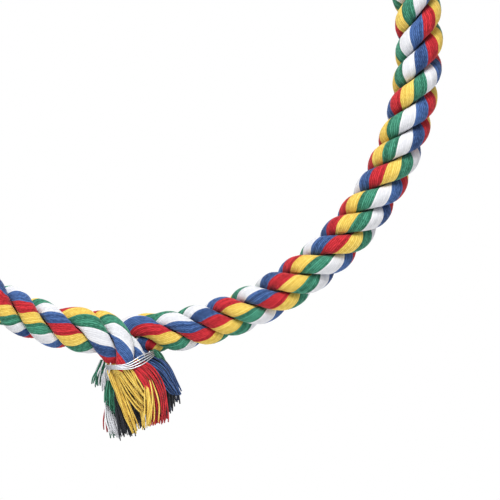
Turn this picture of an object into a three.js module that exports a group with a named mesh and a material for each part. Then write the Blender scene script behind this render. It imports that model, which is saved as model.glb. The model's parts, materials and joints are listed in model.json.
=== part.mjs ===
// Rope swing perch for a bird cage: a ring of three-strand cotton rope laid round a springy wire,
// with its two ends turned down, bound together with wire and frayed into a tassel at the bottom.
// A wire eye round the top of the ring hangs in a welded ring, which hangs in a screw link.
// Millimetres, +Z up, +X to the right as seen from the front, which is -Y.
// The origin is the point where the screw link bears on the bar that it hangs from.
import * as THREE from "three";

// Rope
const ROPE_DIAMETER = 21.2; // over the strands, in the slack upper part
const ROPE_END_DIAMETER = 18.8; // drawn tighter towards the bound ends
const ROPE_SWELL_RUN = 200; // length over which the rope swells from an end to its full size
const RING_RADIUS = 130.5; // centreline of the rope
const LAY_AT_RIGHT_END = 38.4; // length of one turn of the strands
const LAY_AT_LEFT_END = 42.2;
const LAY_START = 0.104; // turn of the strands at the lowest point of the ring
const STRAND_COUNT = 3;
const STRAND_GAP = 1;
const STRAND_SIDES = 8;
const STEPS_PER_LAY = 8;
const CORE_DIAMETER = 1.8; // springy steel wire that keeps the ring round
const CORE_GAP = 0.4;
const CORE_SETBACK = 58; // from each end of the rope to the end of the core wire

// Bound rope ends: the left end in front, the right end behind it
const FRONT_END_RUN = 34; // along the ring, from its lowest point to where the end leaves the circle
const FRONT_END_LEAD = 21; // pull of the ring on the curve of the end
const FRONT_END_FALL = 11; // pull of the binding on the curve of the end
const FRONT_END_SHIFT = -2; // to the right of the binding's middle
const FRONT_END_WIDTH = 17; // squeezed, seen from the front
const FRONT_BEND_RISE = 2.4; // of the rope over its bend
const FRONT_BEND_SWELL = 1.1; // of its outer strands over the bend
const FRONT_BEND_RUN = 32.5; // from the cut to the middle of the bend
const FRONT_BEND_HALF = 25; // half the length of the bend
const BACK_END_RUN = 12.1;
const BACK_END_LEAD = 6.5;
const BACK_END_FALL = 5.5;
const BACK_END_SHIFT = 1.5;
const BACK_END_WIDTH = 15;
const BACK_BEND_RISE = 2.2;
const BACK_BEND_SWELL = 1.6;
const BACK_BEND_RUN = 18.5;
const BACK_BEND_HALF = 12;
const END_DEPTH = 9.8; // of one squeezed end, front to back
const END_GAP = 1; // between the two ends, front to back
const END_REACH = 5; // of the cut below the end of the bend
const END_SQUEEZED_RUN = 9.5; // length that is squeezed all the way
const END_NARROW_RUN = 33.5; // length that is narrower than the rope
const END_FLAT_RUN = 80; // length that is flatter than the rope
const END_TOGETHER_RUN = 26; // length over which the ends lie against each other
const END_PARTING_RUN = 100; // length over which an end moves to the front or the back

// Binding of the rope ends
const BINDING_WIRE = 0.6;
const BINDING_TURNS = 4;
const BINDING_PITCH = 1.02;
const BINDING_DROP = 12.2; // end of the bends below the lowest point of the rope's centreline
const BINDING_SHIFT = 3.1; // to the right
const BINDING_TILT = THREE.MathUtils.degToRad(22); // of the bundle's lower end to the right
const BINDING_SLOPE = 0.06; // fall towards the front
const BINDING_SAG = 1.5; // of the middle turn below the end of the bends
const BINDING_GAP = 0.6; // between the wire and the squeezed ends

// Tassel
const TUFT_GAP = 0.5;
const TUFT_DROP = 1.2; // of a tuft's root below the cut of the rope
const TUFT_TIP_DEPTH = 7;
const TUFT_TIP_SHARE = 0.55; // of its full size that a tuft keeps at its rounded tip
const TUFT_FAN = THREE.MathUtils.degToRad(56); // between the outermost tufts of a row
const TUFT_SPLAY = THREE.MathUtils.degToRad(8); // of a row to the front or the back
const TUFT_DROOP = 0.5; // share of its lean that a tuft loses towards its tip

// Hanging eye
const EYE_WIRE = 2;
const EYE_TIGHT_TURNS = 2; // on each side of the eye
const EYE_TALL_TURNS = 2;
const EYE_PITCH = 2.6;
const EYE_LIFT = 11; // of the tall turns above the tight ones
const EYE_GAP = 0.55; // between the wire and the rope

// Welded ring and screw link
const SWING_RING_WIRE = 4;
const SWING_RING_INSIDE = 20;
const LINK_WIRE = 5;
const LINK_INSIDE_WIDTH = 12;
const LINK_INSIDE_LENGTH = 39;
const LINK_MOUTH = 7; // gap that the sleeve closes
const LINK_THREAD = 2.5; // of the lower thread inside the closed sleeve
const SLEEVE_LENGTH = 15;
const SLEEVE_SIDES = 6;
const SLEEVE_FLATS = 9; // from one side to the opposite one
const SLEEVE_CHAMFER = 0.7;
const SLEEVE_GAP = 0.35;
const SEAT_GAP = 0.4; // where one hung piece bears on the next

// Fineness of round pieces
const LOOP_STEPS = 24;
const WIRE_SIDES = 6;
const ROD_SIDES = 10;
const CORE_STEPS = 72;
const BOW_STEPS = 12;
const TUFT_SIDES = 8;
const TUFT_STEPS = 5;
const BEND_STEP = 1.8; // along the rope near its bent ends
const BEND_STEPS_RUN = 40; // length from an end with those short steps
const AHEAD_STEP = 0.5; // along the rope, on each side of a point where its way ahead is measured

const FRONT = new THREE.Vector3(0, -1, 0);
const TURN = 2 * Math.PI;

// Heights down the hanger, each piece bearing on the one above it.
const linkLimb = (LINK_INSIDE_WIDTH + LINK_WIRE) / 2;
const linkTopBowZ = -LINK_INSIDE_WIDTH / 2;
const linkFootBowZ = LINK_INSIDE_WIDTH / 2 - LINK_INSIDE_LENGTH;
const linkFootZ = linkFootBowZ - linkLimb;
const sleeveZ = linkFootBowZ + SLEEVE_GAP;
const mouthZ = sleeveZ + LINK_THREAD;
const swingRingRadius = (SWING_RING_INSIDE + SWING_RING_WIRE) / 2;
const swingRingZ = linkFootZ + (LINK_WIRE + SWING_RING_WIRE) / 2 + SEAT_GAP - swingRingRadius;
const swingRingFootZ = swingRingZ - swingRingRadius;
const eyeRadius = (ROPE_DIAMETER + EYE_WIRE) / 2 + EYE_GAP;
const eyeTopZ = swingRingFootZ + (SWING_RING_WIRE + EYE_WIRE) / 2 + SEAT_GAP;
const ringTopZ = eyeTopZ - eyeRadius - EYE_LIFT;
const ringZ = ringTopZ - RING_RADIUS;

// Materials
const cotton = (colour) => new THREE.MeshStandardMaterial({ color: colour, roughness: 0.95, metalness: 0 });
const steel = (colour, roughness) =>
  new THREE.MeshStandardMaterial({ color: colour, roughness, metalness: 1 });
const strandColours = ["#c8202b", "#2e8b63", "#3a5ba0"];
const coreSteel = steel("#8f9396", 0.5);
const galvanised = steel("#b9bcc0", 0.4);
const plated = steel("#c9ccd0", 0.25);

// A closed solid through rings of points, each turning anticlockwise about the way ahead.
function loft(rings) {
  const sides = rings[0].length;
  const last = (rings.length - 1) * sides;
  const faces = [];
  for (let ring = 0; ring < last; ring += sides) {
    for (let side = 0; side < sides; side++) {
      const here = ring + side;
      const next = ring + ((side + 1) % sides);
      faces.push(here, next, here + sides, next, next + sides, here + sides);
    }
  }
  for (let side = 1; side + 1 < sides; side++) {
    faces.push(0, side + 1, side, last, last + side, last + side + 1);
  }
  return new THREE.BufferGeometry().setFromPoints(rings.flat()).setIndex(faces);
}

// A round wire along a row of points. Its first ring faces any way across and is carried on untwisted.
function wireAlong(points, diameter, sides) {
  const ahead = points.map((_, i) => {
    const from = points[Math.max(i - 1, 0)];
    const to = points[Math.min(i + 1, points.length - 1)];
    return new THREE.Vector3().subVectors(to, from).normalize();
  });
  const across = new THREE.Vector3(ahead[0].y, ahead[0].z, ahead[0].x);
  const rings = points.map((point, i) => {
    across.addScaledVector(ahead[i], -across.dot(ahead[i])).normalize();
    const beside = new THREE.Vector3().crossVectors(ahead[i], across);
    return Array.from({ length: sides }, (_, k) => {
      const angle = (TURN * k) / sides;
      return point
        .clone()
        .addScaledVector(across, (diameter / 2) * Math.cos(angle))
        .addScaledVector(beside, (diameter / 2) * Math.sin(angle));
    });
  });
  return loft(rings);
}

// Both ends of a winding run straight on for one wire diameter.
function withStraightEnds(points, diameter) {
  const beyond = (end, before) =>
    end.clone().addScaledVector(new THREE.Vector3().subVectors(end, before).normalize(), diameter);
  return [beyond(points[0], points[1]), ...points, beyond(points.at(-1), points.at(-2))];
}

// Prints the least gap between the turns of a winding, measured between points half a turn apart or more.
function printLeastGap(name, points, diameter) {
  let least = Infinity;
  points.forEach((point, i) => {
    for (let k = i + LOOP_STEPS / 2; k < points.length; k++) {
      least = Math.min(least, point.distanceTo(points[k]) - diameter);
    }
  });
  console.log(`${name}: least gap between its turns ${least.toFixed(2)} mm`);
}

function mesh(name, geometry, material) {
  const made = new THREE.Mesh(geometry, material);
  made.name = name;
  return made;
}

// The rope's centreline. A place on it is a run in millimetres, from the lowest point of the ring
// up its right side, over the top and down the left side. The two ends go on past the circle.
const ringLength = TURN * RING_RADIUS;
const bindingCentre = new THREE.Vector3(BINDING_SHIFT, 0, -RING_RADIUS - BINDING_DROP);
const bindingAxis = new THREE.Vector3(Math.sin(BINDING_TILT), 0, -Math.cos(BINDING_TILT));
const bindingAcross = new THREE.Vector3(Math.cos(BINDING_TILT), 0, Math.sin(BINDING_TILT));
const endOffset = (END_DEPTH + END_GAP) / 2;

function circlePoint(run) {
  const angle = run / RING_RADIUS;
  return new THREE.Vector3(RING_RADIUS * Math.sin(angle), 0, -RING_RADIUS * Math.cos(angle));
}

// A rope end bends from the circle into the binding and runs straight on to its cut.
function withPath(end) {
  const leave = circlePoint(end.side * end.run);
  const inward = circlePoint(end.side * (end.run - ringLength / 4)).setLength(end.lead);
  const neck = bindingCentre.clone().addScaledVector(bindingAcross, end.shift);
  const above = neck.clone().addScaledVector(bindingAxis, -end.fall);
  const cut = neck.clone().addScaledVector(bindingAxis, END_REACH);
  const path = new THREE.CurvePath();
  path.add(new THREE.CubicBezierCurve3(leave, leave.clone().add(inward), above, neck));
  path.add(new THREE.LineCurve3(neck, cut));
  return { ...end, path };
}

const frontEnd = withPath({
  side: -1,
  run: FRONT_END_RUN,
  lead: FRONT_END_LEAD,
  fall: FRONT_END_FALL,
  shift: FRONT_END_SHIFT,
  width: FRONT_END_WIDTH,
  rise: FRONT_BEND_RISE,
  swell: FRONT_BEND_SWELL,
  bendRun: FRONT_BEND_RUN,
  bendHalf: FRONT_BEND_HALF,
});
const backEnd = withPath({
  side: 1,
  run: BACK_END_RUN,
  lead: BACK_END_LEAD,
  fall: BACK_END_FALL,
  shift: BACK_END_SHIFT,
  width: BACK_END_WIDTH,
  rise: BACK_BEND_RISE,
  swell: BACK_BEND_SWELL,
  bendRun: BACK_BEND_RUN,
  bendHalf: BACK_BEND_HALF,
});
const ropeStart = BACK_END_RUN - backEnd.path.getLength();
const ropeFinish = ringLength - FRONT_END_RUN + frontEnd.path.getLength();

const nearerEnd = (run) => (run < ringLength / 2 ? backEnd : frontEnd);
const runFromEnd = (run) => Math.min(run - ropeStart, ropeFinish - run);

// Half the rope's section where its bends leave it as it was laid: from side to side, and front to back.
function ropeHalves(run) {
  const fromEnd = runFromEnd(run);
  const swell = THREE.MathUtils.smoothstep(fromEnd, 0, ROPE_SWELL_RUN);
  const radius = THREE.MathUtils.lerp(ROPE_END_DIAMETER, ROPE_DIAMETER, swell) / 2;
  const broad = THREE.MathUtils.smoothstep(fromEnd, END_SQUEEZED_RUN, END_NARROW_RUN);
  const deep = THREE.MathUtils.smoothstep(fromEnd, END_SQUEEZED_RUN, END_FLAT_RUN);
  const halfWidth = THREE.MathUtils.lerp(nearerEnd(run).width / 2, radius, broad);
  const halfDepth = THREE.MathUtils.lerp(END_DEPTH / 2, radius, deep);
  return { halfWidth, halfDepth };
}

function ropePoint(run) {
  const end = nearerEnd(run);
  const past = end === backEnd ? end.run - run : run - ringLength + end.run;
  const point = past > 0 ? end.path.getPoint(Math.min(past / end.path.getLength(), 1)) : circlePoint(run);
  const nearness = 1 - THREE.MathUtils.smoothstep(runFromEnd(run), END_TOGETHER_RUN, END_PARTING_RUN);
  point.y += end.side * nearness * (ropeHalves(run).halfDepth + END_GAP / 2);
  return point;
}

// The frame of the rope's section: towards the front, outward from the ring, and half its width and depth.
// Over the bend of an end the rope stands up, and its outer strands swell.
function ropeSection(run) {
  const before = ropePoint(run - AHEAD_STEP);
  const ahead = new THREE.Vector3().subVectors(ropePoint(run + AHEAD_STEP), before).normalize();
  const front = FRONT.clone().addScaledVector(ahead, -FRONT.dot(ahead)).normalize();
  const outward = new THREE.Vector3().crossVectors(ahead, front);
  const { rise, swell, bendRun, bendHalf } = nearerEnd(run);
  const fromBend = THREE.MathUtils.clamp((runFromEnd(run) - bendRun) / bendHalf, -1, 1);
  const bend = (1 - fromBend ** 2) ** 2;
  const { halfWidth, halfDepth } = ropeHalves(run);
  const point = ropePoint(run).addScaledVector(outward, -rise * bend);
  return { point, front, outward, halfWidth: halfWidth + swell * bend, halfDepth };
}

// Places for the rings of a strand: close together along the bent ends, further apart round the circle.
function strandRuns() {
  const runs = [];
  for (let run = ropeStart; run < ropeFinish - BEND_STEP; ) {
    runs.push(run);
    const open = THREE.MathUtils.smoothstep(runFromEnd(run), BEND_STEPS_RUN, 2 * BEND_STEPS_RUN);
    run += THREE.MathUtils.lerp(BEND_STEP, LAY_AT_RIGHT_END / STEPS_PER_LAY, open);
  }
  return [...runs, ropeFinish];
}

// Turns of the lay from the lowest point of the ring, the lay opening steadily from right to left.
function layTurns(run) {
  const opening = (1 / LAY_AT_LEFT_END - 1 / LAY_AT_RIGHT_END) / (2 * ringLength);
  return LAY_START + run / LAY_AT_RIGHT_END + opening * run * run;
}

// One strand: an oval that fills its share of the rope's section round the core and turns with the lay.
function strand(number) {
  const halfShare = Math.PI / STRAND_COUNT;
  const rings = strandRuns().map((run) => {
    const { point, front, outward, halfWidth, halfDepth } = ropeSection(run);
    const radius = Math.max(halfWidth, halfDepth);
    const bore = CORE_DIAMETER / 2 + CORE_GAP;
    const centre = (radius + bore) / 2;
    const thick = (radius - bore) / 2;
    const toShare = centre * Math.sin(halfShare) - STRAND_GAP / 2;
    const wide = Math.sqrt(toShare ** 2 - (thick * Math.sin(halfShare)) ** 2) / Math.cos(halfShare);
    const turn = TURN * (layTurns(run) + number / STRAND_COUNT) + halfShare;
    return Array.from({ length: STRAND_SIDES }, (_, k) => {
      const angle = (TURN * k) / STRAND_SIDES;
      const out = centre + thick * Math.cos(angle);
      const aside = wide * Math.sin(angle);
      const toFront = out * Math.cos(turn) - aside * Math.sin(turn);
      const toOutside = out * Math.sin(turn) + aside * Math.cos(turn);
      return point
        .clone()
        .addScaledVector(front, (toFront * halfDepth) / radius)
        .addScaledVector(outward, (toOutside * halfWidth) / radius);
    });
  });
  return loft(rings);
}

function coreWire() {
  const first = ropeStart + CORE_SETBACK;
  const last = ropeFinish - CORE_SETBACK;
  const points = Array.from(
    { length: CORE_STEPS + 1 },
    (_, i) => ropeSection(THREE.MathUtils.lerp(first, last, i / CORE_STEPS)).point,
  );
  return wireAlong(points, CORE_DIAMETER, WIRE_SIDES);
}

// A taut loop round ovals in a plane: in each direction, the furthest point of them all.
function tautLoop(ovals) {
  const corners = Array.from({ length: 2 * LOOP_STEPS }, (_, i) => {
    const angle = (TURN * i) / (2 * LOOP_STEPS);
    const way = new THREE.Vector2(Math.cos(angle), Math.sin(angle));
    const reaches = ovals.map(({ centre, half }) => {
      const reach = Math.hypot(half.x * way.x, half.y * way.y);
      const point = new THREE.Vector2((half.x ** 2 * way.x) / reach, (half.y ** 2 * way.y) / reach);
      return point.add(centre);
    });
    return reaches.reduce((best, point) => (point.dot(way) > best.dot(way) ? point : best));
  });
  const through = corners.map((corner) => new THREE.Vector3(corner.x, corner.y, 0));
  return new THREE.CatmullRomCurve3(through, true).getSpacedPoints(LOOP_STEPS);
}

// The binding wire follows the two squeezed ends, which lie behind one another.
function endBinding() {
  const clear = BINDING_GAP + BINDING_WIRE / 2;
  const ovals = [backEnd, frontEnd].map((end) => ({
    centre: new THREE.Vector2(end.shift, end.side * endOffset),
    half: new THREE.Vector2(end.width / 2 + clear, END_DEPTH / 2 + clear),
  }));
  const loop = tautLoop(ovals);
  const points = Array.from({ length: BINDING_TURNS * LOOP_STEPS + 1 }, (_, i) => {
    const at = loop[i % LOOP_STEPS];
    const turned = i / LOOP_STEPS - BINDING_TURNS / 2;
    const along = BINDING_SAG + BINDING_PITCH * turned - BINDING_SLOPE * at.y;
    return bindingCentre
      .clone()
      .addScaledVector(bindingAcross, at.x)
      .addScaledVector(FRONT, -at.y)
      .addScaledVector(bindingAxis, along);
  });
  const wire = withStraightEnds(points, BINDING_WIRE);
  printLeastGap("end_binding", wire, BINDING_WIRE);
  return wireAlong(wire, BINDING_WIRE, WIRE_SIDES);
}

// Tight turns round the top of the rope, with the middle ones drawn up into an eye.
function hangingEye() {
  const turns = 2 * EYE_TIGHT_TURNS + EYE_TALL_TURNS;
  const points = Array.from({ length: turns * LOOP_STEPS + 1 }, (_, i) => {
    const turned = i / LOOP_STEPS;
    const angle = TURN * turned + Math.PI;
    const tall = turned > EYE_TIGHT_TURNS && turned < turns - EYE_TIGHT_TURNS;
    const lift = tall ? EYE_LIFT * Math.max(Math.cos(angle), 0) : 0;
    return new THREE.Vector3(
      EYE_PITCH * (turned - turns / 2),
      eyeRadius * Math.sin(angle),
      RING_RADIUS + eyeRadius * Math.cos(angle) + lift,
    );
  });
  const wire = withStraightEnds(points, EYE_WIRE);
  printLeastGap("hanging_eye", wire, EYE_WIRE);
  return wireAlong(wire, EYE_WIRE, WIRE_SIDES);
}

// A frayed tuft: an oval brush from the cut end of the rope, drooping and spreading towards its tip.
function tuft(root, way, tipWay, length, rootHalf, tipHalf) {
  const middle = root.clone().addScaledVector(way, length / 2);
  const tip = middle.clone().addScaledVector(tipWay, length / 2);
  const curve = new THREE.QuadraticBezierCurve3(root, middle, tip);
  const rings = Array.from({ length: TUFT_STEPS + 1 }, (_, i) => {
    const share = i / TUFT_STEPS;
    const ahead = curve.getTangent(share);
    const across = new THREE.Vector3().crossVectors(ahead, FRONT).normalize();
    const front = new THREE.Vector3().crossVectors(across, ahead);
    const half = rootHalf.clone().lerp(tipHalf, share);
    half.multiplyScalar(i < TUFT_STEPS ? 1 : TUFT_TIP_SHARE);
    return Array.from({ length: TUFT_SIDES }, (_, k) => {
      const angle = (TURN * k) / TUFT_SIDES;
      return curve
        .getPoint(share)
        .addScaledVector(front, half.y * Math.cos(angle))
        .addScaledVector(across, half.x * Math.sin(angle));
    });
  });
  return loft(rings);
}

// The way down at a lean to the right and a splay to the front or the back.
function leaning(lean, splay) {
  const flat = Math.cos(splay);
  return new THREE.Vector3(Math.sin(lean) * flat, Math.sin(splay), -Math.cos(lean) * flat);
}

// A row of tufts below one rope end, fanned out from left to right about the way of the binding.
function tuftRow(prefix, end, tufts) {
  const pitch = end.width / tufts.length;
  const rootHalf = new THREE.Vector2((pitch - TUFT_GAP) / 2, END_DEPTH / 2 - TUFT_GAP);
  const fanStep = TUFT_FAN / (tufts.length - 1);
  const splay = end.side * TUFT_SPLAY;
  return tufts.map(({ colour, name, length }, i) => {
    const place = i - (tufts.length - 1) / 2;
    const lean = BINDING_TILT + fanStep * place;
    const spread = fanStep * length * (1 - TUFT_DROOP);
    const tipHalf = new THREE.Vector2((pitch + spread) / 2 - TUFT_GAP, TUFT_TIP_DEPTH / 2);
    const root = bindingCentre
      .clone()
      .addScaledVector(bindingAcross, end.shift + pitch * place)
      .addScaledVector(FRONT, -end.side * endOffset)
      .addScaledVector(bindingAxis, END_REACH + TUFT_DROP);
    const way = leaning(lean, splay);
    const tipWay = leaning(lean * (1 - TUFT_DROOP), splay);
    return mesh(`${prefix}_${name}`, tuft(root, way, tipWay, length, rootHalf, tipHalf), cotton(colour));
  });
}

// The screw link's rod: from the mouth up over the top bow, down the back and round the lower bow.
function linkBody() {
  const bow = (centreZ, from) =>
    Array.from({ length: BOW_STEPS + 1 }, (_, i) => {
      const angle = from + (Math.PI * i) / BOW_STEPS;
      return new THREE.Vector3(0, -linkLimb * Math.cos(angle), centreZ + linkLimb * Math.sin(angle));
    });
  const points = [
    new THREE.Vector3(0, -linkLimb, mouthZ + LINK_MOUTH),
    ...bow(linkTopBowZ, 0),
    ...bow(linkFootBowZ, Math.PI),
    new THREE.Vector3(0, -linkLimb, mouthZ),
  ];
  return wireAlong(points, LINK_WIRE, ROD_SIDES);
}

// The hexagonal sleeve that closes the link's mouth.
function linkSleeve() {
  const corner = SLEEVE_FLATS / 2 / Math.cos(Math.PI / SLEEVE_SIDES);
  const outline = new THREE.Shape(
    Array.from({ length: SLEEVE_SIDES }, (_, k) => {
      const angle = (TURN * (k + 0.5)) / SLEEVE_SIDES;
      return new THREE.Vector2(corner * Math.cos(angle), corner * Math.sin(angle));
    }),
  );
  const bore = new THREE.Path().absarc(0, 0, LINK_WIRE / 2 + SLEEVE_GAP, 0, TURN, true);
  outline.holes.push(bore);
  return new THREE.ExtrudeGeometry(outline, {
    depth: SLEEVE_LENGTH - 2 * SLEEVE_CHAMFER,
    curveSegments: ROD_SIDES,
    bevelThickness: SLEEVE_CHAMFER,
    bevelSize: SLEEVE_CHAMFER,
    bevelOffset: -SLEEVE_CHAMFER,
    bevelSegments: 1,
  });
}

const hanger = new THREE.Group();
const sleeve = mesh("link_sleeve", linkSleeve(), plated);
sleeve.position.set(0, -linkLimb, sleeveZ + SLEEVE_CHAMFER);
const swingRing = mesh(
  "swing_ring",
  new THREE.TorusGeometry(swingRingRadius, SWING_RING_WIRE / 2, ROD_SIDES, LOOP_STEPS),
  plated,
);
swingRing.rotation.x = Math.PI / 2;
swingRing.position.z = swingRingZ;
hanger.add(mesh("link_body", linkBody(), plated), sleeve, swingRing);

const perch = new THREE.Group();
perch.position.z = ringZ;
strandColours.forEach((colour, i) => perch.add(mesh(`rope_strand_${i + 1}`, strand(i), cotton(colour))));
perch.add(
  mesh("core_wire", coreWire(), coreSteel),
  mesh("end_binding", endBinding(), galvanised),
  mesh("hanging_eye", hangingEye(), galvanised),
  ...tuftRow("front_tuft", frontEnd, [
    { name: "white", colour: "#dedcdf", length: 25 },
    { name: "green", colour: "#2e8b63", length: 26 },
    { name: "dark", colour: "#34373f", length: 27 },
    { name: "yellow", colour: "#e3bc47", length: 27 },
    { name: "red", colour: "#c8202b", length: 25 },
    { name: "blue", colour: "#3a5ba0", length: 21 },
  ]),
  ...tuftRow("back_tuft", backEnd, [
    { name: "green", colour: "#2e8b63", length: 28 },
    { name: "white", colour: "#dedcdf", length: 28 },
    { name: "yellow", colour: "#e3bc47", length: 27 },
    { name: "red", colour: "#c8202b", length: 25 },
    { name: "dark", colour: "#34373f", length: 22 },
    { name: "blue", colour: "#3a5ba0", length: 20 },
  ]),
);

const ropeSwingPerch = new THREE.Group();
ropeSwingPerch.add(hanger, perch);
export default ropeSwingPerch;
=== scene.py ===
"""Looks of a rope swing perch: a ring of laid cotton rope in five colours, bound and frayed at its foot.

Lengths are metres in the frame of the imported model: +Z up, +X to the right, and the front faces -Y.
"""

import json
import logging
import math
from dataclasses import dataclass
from enum import Enum
from functools import lru_cache, partial
from typing import Any, Callable

import bpy
import numpy as np
from bpy.types import Material, Mesh, Node, NodeSocket, NodeTree, Object
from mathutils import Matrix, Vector


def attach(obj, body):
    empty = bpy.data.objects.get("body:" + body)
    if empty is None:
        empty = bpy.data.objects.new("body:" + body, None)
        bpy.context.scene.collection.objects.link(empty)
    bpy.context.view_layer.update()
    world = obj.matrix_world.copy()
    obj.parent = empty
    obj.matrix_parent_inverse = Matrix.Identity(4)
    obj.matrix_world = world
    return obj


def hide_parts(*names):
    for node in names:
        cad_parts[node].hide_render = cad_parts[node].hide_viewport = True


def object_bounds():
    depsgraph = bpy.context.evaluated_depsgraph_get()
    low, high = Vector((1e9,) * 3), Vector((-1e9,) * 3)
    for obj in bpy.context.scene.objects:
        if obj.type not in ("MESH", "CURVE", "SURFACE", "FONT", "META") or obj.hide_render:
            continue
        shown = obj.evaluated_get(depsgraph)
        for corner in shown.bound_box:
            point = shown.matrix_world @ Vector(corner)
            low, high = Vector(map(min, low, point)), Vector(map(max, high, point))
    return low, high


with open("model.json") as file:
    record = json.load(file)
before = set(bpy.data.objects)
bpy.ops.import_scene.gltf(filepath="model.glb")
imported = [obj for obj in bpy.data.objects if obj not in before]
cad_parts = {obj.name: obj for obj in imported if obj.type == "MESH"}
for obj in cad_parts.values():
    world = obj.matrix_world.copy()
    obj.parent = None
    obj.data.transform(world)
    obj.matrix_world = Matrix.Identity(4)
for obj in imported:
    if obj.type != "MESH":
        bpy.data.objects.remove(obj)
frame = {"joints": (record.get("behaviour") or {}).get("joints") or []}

Array = np.ndarray
Draws = np.random.Generator
Pair = tuple[float, float]
Triple = tuple[float, float, float]
Places = tuple[Pair, ...]

LOG = logging.getLogger("rope_swing_perch")
CAD_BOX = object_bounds()
MM = 0.001
TURN = 2 * math.pi
SEED = 7
BAKE_MAP = "OFBake"
YARN_PLACE = "yarn"
FRONT = np.array([0.0, -1.0, 0.0])
YARN_MIDDLE = 0.5  # across a yarn, between its two seams
ASKEW = (0.3, 0.5, 0.8)  # a way that no wire or yarn starts in, to begin the sides of a tube from
ROD_TIP = 0.02  # least share of its squared radius at the tip of a rounded rod
CIRCLE_STEPS = 721  # points on a finely divided circle
EYE_DROP = 150.25 * MM  # from the eye's hinge down to the middle of the ring
EYE_RISE = 3.4 * MM  # from the eye's hinge up to the middle of its wire
COLOUR_A, COLOUR_B, COLOUR_OUT = 6, 7, 2  # the sockets of a mix node that hold colours


class Body(str, Enum):
    """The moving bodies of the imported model."""

    LINK = "screw_link"
    SLEEVE = "sleeve"
    RING = "welded_ring"
    PERCH = "perch"


class Cut(str, Enum):
    """The two cut ends of the rope, which fray into the tassel."""

    FRONT = "front"
    BACK = "back"


class Dye(Enum):
    """The yarns of the rope: five dyes in their order round a strand, and the dark yarn of its heart."""

    WHITE = 0
    BLUE = 1
    RED = 2
    YELLOW = 3
    GREEN = 4
    DARK = 5

    @property
    def slot(self) -> str:
        """The record's material slot for this yarn."""
        return f"{self.name.lower()}_cotton"


# Colours and nodes


def linear(hex_colour: str) -> tuple[float, float, float, float]:
    """Turns an sRGB hex colour into the linear colour that a shader takes.

    Args:
        hex_colour: The colour as "#rrggbb".

    Returns:
        Red, green, blue and alpha.
    """
    shares = [int(hex_colour[i : i + 2], 16) / 255 for i in (1, 3, 5)]
    red, green, blue = (s / 12.92 if s <= 0.04045 else ((s + 0.055) / 1.055) ** 2.4 for s in shares)
    return red, green, blue, 1.0


def add_node(tree: NodeTree, kind: str, inputs: dict[Any, Any], **settings: Any) -> Node:
    """Adds a shader node with its settings and links.

    Args:
        tree: The node tree.
        kind: The node's type, without the word that all shader nodes begin with.
        inputs: By name or number of an input, its value or the output linked to it. A node stands for its
            first output.
        settings: The node's own properties.

    Returns:
        The new node.
    """
    node = tree.nodes.new("ShaderNode" + kind)
    for name, value in settings.items():
        setattr(node, name, value)
    for name, value in inputs.items():
        source = value.outputs[0] if isinstance(value, Node) else value
        if isinstance(source, NodeSocket):
            tree.links.new(source, node.inputs[name])
        else:
            node.inputs[name].default_value = source
    return node


def new_material(name: str) -> tuple[Material, Callable[..., Node]]:
    """Makes a material with an empty node tree.

    Args:
        name: The material's name.

    Returns:
        The material, and the function that adds a node to its tree.
    """
    material = bpy.data.materials.new(name)
    material.use_nodes = True
    material.node_tree.nodes.clear()
    return material, partial(add_node, material.node_tree)


# Finishes


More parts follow.
